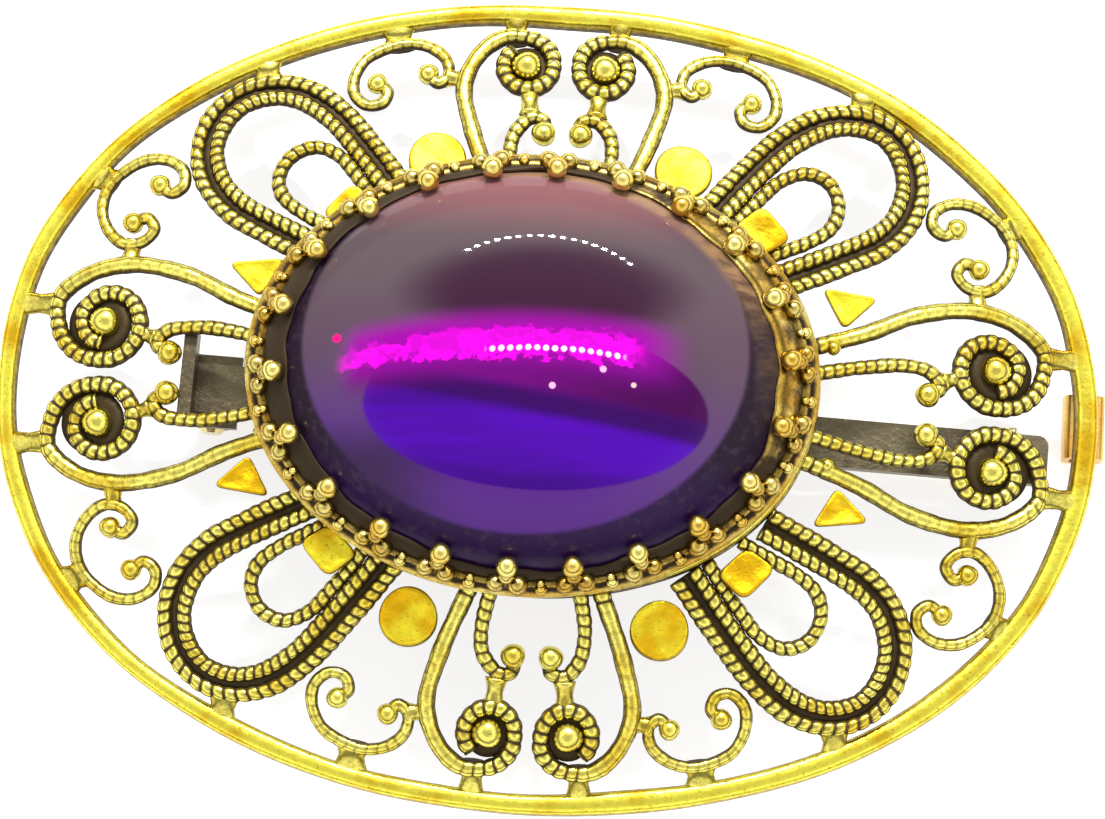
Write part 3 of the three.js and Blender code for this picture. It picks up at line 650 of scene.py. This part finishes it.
def corner_loop(sx, sy, seed):
    build = Build()
    path = Path(flipped(CORNER, sx, sy), STEP, 0.05, seed)
    wire(build, path, STRAP_WIRE, offset=STRAP_OFFSET, skew=0.35)
    wire(build, path, STRAP_WIRE, offset=-STRAP_OFFSET, skew=-0.35)
    web_strip(build, path, STRAP_OFFSET, -0.02, -0.2, 0.92)
    tie(build, (14.0, 14.5), (14.2, 15.7), 1.2, sx, sy)
    return build


def inner_loop(sx, sy, seed):
    build = Build()
    path = Path(flipped(INNER_LOOP, sx, sy), STEP, 0.05, seed)
    wire(build, path, WIRE / 2, skew=0.35 * sx * sy)
    return build


def web_plate(build, x0, y0, radius):
    """The recessed web behind a curl, painted dark as the shade between the turns."""
    around = np.linspace(0, 2 * math.pi, 40, endpoint=False)
    reach = np.array([0.02, 0.35, 0.7, 1.0])[:, None] * radius
    x = x0 + reach * np.cos(around)[None, :]
    y = y0 + reach * np.sin(around)[None, :]
    base = dome_height(x, y) - 0.04 + 0.02 * np.sin(3 * x) * np.cos(4 * y)
    points = np.concatenate(
        [np.stack([x, y, base], -1), np.stack([x, y, base - 0.2], -1)[::-1]])
    build.add(points, grid_faces(8, 40), 0.88)


def volute(stem, eye, coil, plate_radius, plate_shift, beads_from, sx, sy, seed):
    build = Build()
    path = Path(flipped(stem + spiral(eye, *coil), sx, sy), STEP, 0.03, seed)
    share = path.s / path.length
    beaded = 0.12 + 0.88 * smooth_step(share, beads_from, beads_from + 0.12)
    beaded = np.maximum(beaded, 0.8 * smooth_step(share, 0.07, 0.02))
    wire(build, path, VOLUTE_WIRE / 2, beaded=beaded, skew=0.15)
    ex, ey = eye[0] * sx, eye[1] * sy
    web_plate(build, ex + plate_shift[0] * sx, ey + plate_shift[1] * sy, plate_radius)
    ball(build, on_dome(ex, ey, 0.1), BALL_VOLUTE, squash=0.92, rows=16, columns=28)
    return build


def tie(build, start, end, width, sx, sy):
    """A short cast bridge between neighbours, flared where it runs into each."""
    ends = [np.array(on_dome(x * sx, y * sy, -0.04)) for x, y in (start, end)]
    if ends[1][2] < 1.3:
        ends[1][2] = RIM_THICK - 0.42
    along = ends[1] - ends[0]
    side = np.cross(along, [0, 0, 1])
    limb(build, ends[0], ends[1], side, [0.34, 0.27, 0.23, 0.27, 0.34], width / 0.5,
         [0.05, 0.12, 0.16, 0.1, 0.05], 0.8)


def side_volute(sx, sy, seed):
    coil = (-5, -440, (2.22, 1.8, 1.72, 1.55, 1.22, 1.04, 1.0), 19)
    build = volute(SIDE_STEM, SIDE_EYE, coil, 1.5, (0.25, -0.05), 0.42, sx, sy, seed)
    tie(build, (23.0, 3.25), (24.95, 3.35), 1.0, sx, sy)
    tie(build, (19.0, 1.9), (18.3, 1.65), 0.7, sx, sy)
    return build


def crest_volute(sx, sy, seed):
    coil = (100, 310, (1.5, 1.22, 1.22, 1.1, 1.05), 13)
    build = volute(CREST_STEM, CREST_EYE, coil, 1.05, (0.0, 0.0), 0.5, sx, sy, seed)
    tie(build, (2.4, 17.0), (2.5, 18.4), 1.0, sx, sy)
    tie(build, (1.65, 14.5), (1.55, 13.25), 0.8, sx, sy)
    return build


def scroll(points, radius, granule, beaded, both_ends, sx, sy, seed):
    build = Build()
    line = flipped(points, sx, sy)
    path = Path(line, STEP, 0.03, seed)
    wire(build, path, radius, beaded=beaded, skew=0.2)
    for x, y in ([line[0], line[-1]] if both_ends else [line[-1]]):
        ball(build, on_dome(x, y, 0.08), granule, squash=0.95)
    return build


def side_scroll(sx, sy, seed):
    return scroll(SIDE_SCROLL, WIRE / 2, BALL_SCROLL, 0.7, False, sx, sy, seed)


def crest_scroll(sx, sy, seed):
    return scroll(CREST_SCROLL, WIRE / 2, BALL_SCROLL, 0.7, False, sx, sy, seed)


def side_c_scroll(sx, sy, seed):
    build = scroll(SIDE_C, SCROLL_WIRE / 2, BALL_CURL, 0.3, True, sx, sy, seed)
    tie(build, (19.7, 6.35), (19.8, 5.3), 0.8, sx, sy)
    tie(build, (20.9, 9.2), (21.75, 9.7), 1.3, sx, sy)
    return build


def crest_c_scroll(sx, sy, seed):
    build = scroll(CREST_C, SCROLL_WIRE / 2, BALL_CURL, 0.3, True, sx, sy, seed)
    tie(build, (7.95, 16.45), (8.1, 17.6), 1.3, sx, sy)
    tie(build, (5.6, 15.0), (4.75, 14.9), 0.8, sx, sy)
    return build


def pillow(build, outline, bottom, top, tilt, seed):
    """A flat piece with softened edges: the outline shrinks and rises in rings."""
    outline = np.array(outline, float)
    middle = outline.mean(0)
    thick = top - bottom
    # Each ring: outline scale, height and darkness; the darkness, antiquing and painted shade, is
    # heaviest round the edge and nil in the middle.
    rings = [
        (1.0, 0.0, 0.9), (1.0, 0.5, 0.8), (0.985, 0.8, 0.55), (0.95, 0.94, 0.3),
        (0.90, 1.0, 0.12), (0.80, 0.98, 0.22), (0.68, 0.93, 0.18), (0.5, 0.9, 0.06),
        (0.25, 0.88, 0.0), (0.02, 0.88, 0.0),
    ]
    rows = []
    for scale, height, _ in rings:
        flat = middle + (outline - middle) * scale
        dent = 0.035 * np.sin(flat[:, 0] * 3.4 + seed) * np.cos(flat[:, 1] * 4.3 + seed) - 0.035
        rows.append(np.column_stack([flat, bottom + thick * height + dent * height]))
    points = np.stack(rows)
    points[..., 2] += (points[..., :2] - middle) @ np.array(tilt)
    floor = np.column_stack([middle + (outline - middle) * 0.02,
                             bottom + ((outline - middle) * 0.02) @ np.array(tilt)])
    points = np.concatenate([floor[None], points])
    clockwise = np.sum(outline[:, 0] * np.roll(outline[:, 1], -1)
                       - outline[:, 1] * np.roll(outline[:, 0], -1)) < 0
    shades = np.repeat(np.array([0.8] + [ring[2] for ring in rings])[:, None], len(outline), 1)
    faces = grid_faces(len(rings) + 1, len(outline), flip=bool(clockwise))
    build.add(points, faces, shades)


def rounded(corners, roundness, steps=7):
    out = []
    corners = [np.array(c, float) for c in corners]
    for i, corner in enumerate(corners):
        following = corners[(i + 1) % len(corners)]
        start = corner + (corners[i - 1] - corner) * roundness
        end = corner + (following - corner) * roundness
        for k in range(steps + 1):
            t = k / steps
            out.append((1 - t) ** 2 * start + 2 * t * (1 - t) * corner + t ** 2 * end)
        for k in (1, 2, 3):
            out.append(end + (following - corner) * (1 - 2 * roundness) * k / 4)
    return out


def plaque(corners, roundness, proud, sx, sy, seed):
    build = Build()
    corners = flipped(corners, sx, sy)
    mx, my = np.mean(corners, 0)
    base = float(dome_height(mx, my)) + proud
    pillow(build, rounded(corners, roundness), base, base + PLAQUE_THICK, (0, 0), seed)
    return build


def triangle(sx, sy, seed):
    return plaque([(15.1, 5.25), (13.5, 3.66), (12.4, 5.6)], 0.2, -0.1, sx, sy, seed)


def leaf(sx, sy, seed):
    return plaque([(10.9, 7.7), (9.5, 9.25), (8.15, 8.1), (9.5, 6.75)], 0.28, 0.36, sx, sy, seed)


def disc(sx, sy, seed):
    build = Build()
    x, y = DISC_AT[0] * sx, DISC_AT[1] * sy
    t = np.linspace(0, 2 * math.pi, 56, endpoint=False)
    r = DISC_RADIUS * (0.985 + 0.012 * np.sin(3 * t + seed))
    slope = (-8 * DOME_RISE * x / RIM_LENGTH ** 2, -8 * DOME_RISE * y / RIM_WIDTH ** 2)
    level = float(dome_height(x, y))
    pillow(build, np.column_stack([x + r * np.cos(t), y + r * np.sin(t)]),
           level - DISC_THICK / 2, level + DISC_THICK / 2, slope, seed)
    return build


FILIGREE = {
    "corner_loop": (corner_loop, "wires", GOLD, "antique_gold"),
    "inner_loop": (inner_loop, "wire", GOLD, "antique_gold"),
    "side_volute": (side_volute, "scroll", GOLD, "antique_gold"),
    "crest_volute": (crest_volute, "scroll", GOLD, "antique_gold"),
    "side_scroll": (side_scroll, "wire", GOLD, "antique_gold"),
    "crest_scroll": (crest_scroll, "wire", GOLD, "antique_gold"),
    "side_c_scroll": (side_c_scroll, "wire", GOLD, "antique_gold"),
    "crest_c_scroll": (crest_c_scroll, "wire", GOLD, "antique_gold"),
    "disc": (disc, "plaque", PLAQUE, "polished_gold"),
    "triangle": (triangle, "plaque", PLAQUE, "polished_gold"),
    "leaf": (leaf, "plaque", PLAQUE, "polished_gold"),
}
for kind, (make, what, material, slot_name) in FILIGREE.items():
    for number, (quadrant, (sx, sy)) in enumerate(QUADRANTS.items()):
        build = make(sx, sy, number + 1.0)
        build.make(f"{kind}_{quadrant}_{what}", f"{kind}_{quadrant}", material, slot_name)

# ---- Crown setting ---------------------------------------------------------------------

def even_angles(count, start):
    samples = 720
    t = 2 * math.pi * (np.arange(1, samples + 1) - 0.5) / samples
    step = np.hypot(WALL * np.sin(t), WALL * ASPECT * np.cos(t)) * 2 * math.pi / samples
    lengths = np.concatenate([[0], np.cumsum(step)])
    where = (0.75 * lengths[-1] + start + np.arange(count) * lengths[-1] / count) % lengths[-1]
    return [2 * math.pi * int(np.argmax(lengths >= w)) / samples for w in where]


def shoulder(angle, height):
    rise = height / STONE_DOME
    out = math.sqrt(1 - rise * rise)
    c, s = math.cos(angle), math.sin(angle)
    point = np.array([STONE_A * out * c, STONE_B * out * s, STONE_BOTTOM + GIRDLE + height])
    normal = np.array([out * c / STONE_A, out * s / STONE_B, rise / STONE_DOME])
    return point, normal / np.linalg.norm(normal)


LIP_A, LIP_RISE = 12.3, 1.1


def bezel_lip(build):
    """The bezel strip pressed over the stone's shoulder: wide at the ends, thin between them."""
    t = np.linspace(0, 2 * math.pi, 240, endpoint=False)
    ends = np.abs(np.cos(t)) ** 1.6
    to_upper_right = smooth_step(np.cos(t - math.radians(22)), 0.5, 0.95)
    reach = 0.992 - ends * (0.0435 - 0.0185 * np.cos(t)) - 0.04 * to_upper_right
    reach = reach + 0.004 * np.sin(13 * t) + 0.003 * np.sin(29 * t)
    lean = STONE_DOME * np.sqrt(1 - np.minimum(reach, 0.999) ** 2)
    top = STONE_BOTTOM + GIRDLE
    # Painted light and shade: the lip dark all round, lighter towards the upper right, darkest
    # where it meets the stone.
    dark = 0.9 - 0.5 * to_upper_right + 0.14 * np.sin(31 * t) * np.sin(7 * t)
    foot = [(12.1, 0.4, 0.3), (12.28, 0.6, 0.25), (LIP_A, LIP_RISE, 0.2)]
    rings = [np.column_stack([a * np.cos(t), a * ASPECT * np.sin(t), np.full_like(t, SET_Z + up)])
             for a, up, _ in foot]
    shades = [dark + extra for *_, extra in foot]
    a_in, b_in = STONE_A * reach, STONE_B * reach
    for share, lift, extra in [
        (0.25, 0.2, 0.05), (0.6, 0.22, 0.0), (0.9, 0.19, -0.08), (1.0, 0.1, 0.1), (1.0, 0.03, 0.5),
    ]:
        a = LIP_A + (a_in - LIP_A) * share
        b = LIP_A * ASPECT + (b_in - LIP_A * ASPECT) * share
        z = (SET_Z + LIP_RISE) + (top + lean - SET_Z - LIP_RISE) * share + lift
        rings.append(np.column_stack([a * np.cos(t), b * np.sin(t), z]))
        shades.append(dark + extra)
    build.add(np.stack(rings), grid_faces(len(rings), len(t)), np.stack(shades))


crown = Build()
# The crown's turned band; the last list paints shade by row, darkest where the wall meets the
# flange and inside the wall, lightest on the flange's outer face.
lathe(crown, [
    (0.1, SET_Z), (FLANGE - 0.1, SET_Z), (FLANGE, SET_Z + 0.1),
    (FLANGE, SET_Z + FLANGE_HEIGHT - 0.1),
    (FLANGE - 0.1, SET_Z + FLANGE_HEIGHT), (WALL + 0.08, SET_Z + FLANGE_HEIGHT + 0.03),
    (WALL, SET_Z + FLANGE_HEIGHT + 0.1), (WALL, SET_Z + WALL_TOP - 0.08),
    (WALL - 0.08, SET_Z + WALL_TOP), (INNER + 0.08, SET_Z + WALL_TOP),
    (INNER, SET_Z + WALL_TOP - 0.08), (INNER, SET_Z + 0.27), (0.1, SET_Z + 0.27),
], 200, ASPECT, [0.6, 0.5, 0.35, 0.1, 0.28, 0.75, 1.0, 0.8, 0.45, 0.45, 0.9, 1.0, 1.0])
bezel_lip(crown)
angles = even_angles(PRONGS, FIRST_PRONG)
for number, angle in enumerate(angles):
    point, normal = shoulder(angle, CONTACT_HEIGHT)
    tip = point + normal * (TIP_BALL + GAP)
    c, s = math.cos(angle), math.sin(angle)
    foot = np.array([(WALL - 0.2) * c, (WALL - 0.2) * ASPECT * s, SET_Z + WALL_HEIGHT - 0.35])
    out = np.array([normal[0], normal[1], 0]) / math.hypot(normal[0], normal[1])
    side = np.cross([0, 0, 1], out)
    # Each prong darker towards its foot, and its lobes and collar browner and darker than the tip
    # ball: painted shade and a browner tone.
    limb(crown, foot, tip, side, [0.26, 0.22, 0.2, 0.3], 1.7, [0.75, 0.4, 0.35, 0.2])
    ball(crown, tip, TIP_BALL, rows=14, columns=22)
    low = foot * 0.66 + tip * 0.34 + out * 0.26
    for hand in (-1, 1):
        uneven = 0.04 * math.sin(5 * number + hand)
        ball(crown, low + side * (0.5 + uneven) * hand, 0.45 + uneven, shade=0.28)
    collar = foot * 0.3 + tip * 0.7 + out * 0.2
    ball(crown, collar, 0.36, shade=0.3)
for first, second in zip(angles, angles[1:] + angles[:1]):
    span = (second - first) % (2 * math.pi)
    for share, r, up in [(0.5, 0.31, 0.62), (0.5, 0.2, 1.0)]:
        angle = first + span * share
        reach = WALL + 0.02 if up < 0.9 else WALL - 0.25
        centre = (reach * math.cos(angle), reach * ASPECT * math.sin(angle), SET_Z + up)
        ball(crown, centre, r, rows=8, columns=14)
crown.make("crown_with_prongs", "crown_setting", CROWN, "antique_gold", shift=(SET_X, SET_Y))

# ---- Stone and foil -----------------------------------------------------------------------

stone = Build()
arc = [(STONE_A * math.cos(t), STONE_BOTTOM + GIRDLE + STONE_DOME * math.sin(t))
       for t in np.linspace(0, math.pi / 2, 60, endpoint=False)]
underside = [
    (0.02, STONE_BOTTOM), (STONE_A - 0.15, STONE_BOTTOM), (STONE_A - 0.04, STONE_BOTTOM + 0.05),
]
crest = [(0.02, STONE_BOTTOM + GIRDLE + STONE_DOME)]
lathe(stone, underside + arc + crest, 160, STONE_B / STONE_A, 0.0)
stone.make("cabochon_glass", "cabochon", GLASS, "violet_glass", shift=(SET_X, SET_Y))

foil = Build()
lathe(foil, [(0.02, FOIL_BOTTOM), (FOIL_A, FOIL_BOTTOM), (FOIL_A, FOIL_BOTTOM + FOIL_THICK),
             (0.02, FOIL_BOTTOM + FOIL_THICK)], 96, FOIL_B / FOIL_A, 0.0)
foil.make("foil_backing_sheet", "foil_backing", FOIL, "foil", shift=(SET_X, SET_Y), smooth=False)

# ---- Pin back and bail: the CAD solids, with eased edges and worn metal ----------------------

def ease(node, material, width, segments=2):
    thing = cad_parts[node]
    thing.data.materials.clear()
    thing.data.materials.append(material)
    bevel = thing.modifiers.new("eased_edges", "BEVEL")
    bevel.width = width * MM
    bevel.segments = segments
    bevel.limit_method = "ANGLE"
    bevel.angle_limit = math.radians(40)
    bevel.harden_normals = False
    return thing


for node, material, width in [
    ("pin_bar", BRASS, 0.12), ("hinge_end_bridge", BRASS, 0.1), ("hinge_bracket", BRASS, 0.07),
    ("hinge_rivet", STEEL, 0.05), ("pin_stem", STEEL, 0.05), ("catch_housing", BRASS, 0.06),
    ("catch_barrel", STEEL, 0.06), ("pendant_bail", COPPERY, 0.09),
]:
    ease(node, material, width)

# ---- Floor, light and camera ------------------------------------------------------------------

TARGET = Vector((0, 0, LIFT)) * MM
CAMERA_AZIMUTH, CAMERA_ELEVATION, CAMERA_DISTANCE = 3.25, 80, 0.18


def direction(azimuth, elevation):
    a, e = math.radians(azimuth), math.radians(elevation)
    return Vector((math.sin(a) * math.cos(e), -math.cos(a) * math.cos(e), math.sin(e)))


def floor_material():
    s = Surface("pale_paper")
    grain = s.noise(900, 3, 0.6)
    s.set(Base_Color=s.blend(grain, (0.50, 0.50, 0.50), (0.56, 0.56, 0.56)), Roughness=0.9)
    s.set(Emission_Color=(1.0, 1.0, 1.0), Emission_Strength=0.72)
    s.bump(grain, 0.02, 0.0001)
    return s.material


bpy.ops.mesh.primitive_plane_add(size=4)
floor = bpy.context.object
floor.name = "floor"
floor.data.materials.append(floor_material())

world = bpy.data.worlds.new("soft_studio")
bpy.context.scene.world = world
world.use_nodes = True
tree = world.node_tree
tree.nodes.clear()
sky_out = tree.nodes.new("ShaderNodeOutputWorld")
sky = tree.nodes.new("ShaderNodeBackground")
heading = tree.nodes.new("ShaderNodeTexCoord")
parts = tree.nodes.new("ShaderNodeSeparateXYZ")
levels = tree.nodes.new("ShaderNodeValToRGB")
tree.links.new(heading.outputs["Generated"], parts.inputs[0])
tree.links.new(parts.outputs[2], levels.inputs[0])
tree.links.new(levels.outputs[0], sky.inputs["Color"])
tree.links.new(sky.outputs[0], sky_out.inputs[0])
levels.color_ramp.elements[0].position = 0.30
levels.color_ramp.elements[0].color = (0.14, 0.14, 0.14, 1)
levels.color_ramp.elements[1].position = 0.42
levels.color_ramp.elements[1].color = (1, 1, 1, 1)
for position, level in [(0.78, 1.0), (0.88, 0.46)]:
    element = levels.color_ramp.elements.new(position)
    element.color = (level, level, level, 1)
sky.inputs["Strength"].default_value = 1.35


# A row of small lamps behind the brooch, as in a light box.
ROW_DISTANCE, ROW_LAMPS = 0.35, 17
for i in range(ROW_LAMPS):
    share = i / (ROW_LAMPS - 1)
    lamp_data = bpy.data.lights.new(f"row_lamp_{i:02d}", "POINT")
    lamp_data.energy = 0.34
    lamp_data.shadow_soft_size = 0.0026
    lamp = bpy.data.objects.new(f"row_lamp_{i:02d}", lamp_data)
    bend = 4 * share * (1 - share)
    lamp.location = TARGET + direction(180 + 18 - 39 * share, 46.5 - 4 * bend) * ROW_DISTANCE
    bpy.context.scene.collection.objects.link(lamp)

camera_data = bpy.data.cameras.new("camera")
camera_data.sensor_width = 36
camera_data.lens = 125.0
camera_data.shift_x = 0.0049
camera_data.shift_y = -0.0042
camera_data.clip_start = 0.005
camera_data.clip_end = 20
camera = bpy.data.objects.new("camera", camera_data)
towards_camera = direction(CAMERA_AZIMUTH, CAMERA_ELEVATION)
camera.location = TARGET + towards_camera * CAMERA_DISTANCE
camera.rotation_mode = "QUATERNION"
camera.rotation_quaternion = (-towards_camera).to_track_quat("-Z", "Y")
bpy.context.scene.collection.objects.link(camera)
bpy.context.scene.camera = camera
bpy.context.scene.view_settings.view_transform = "Standard"
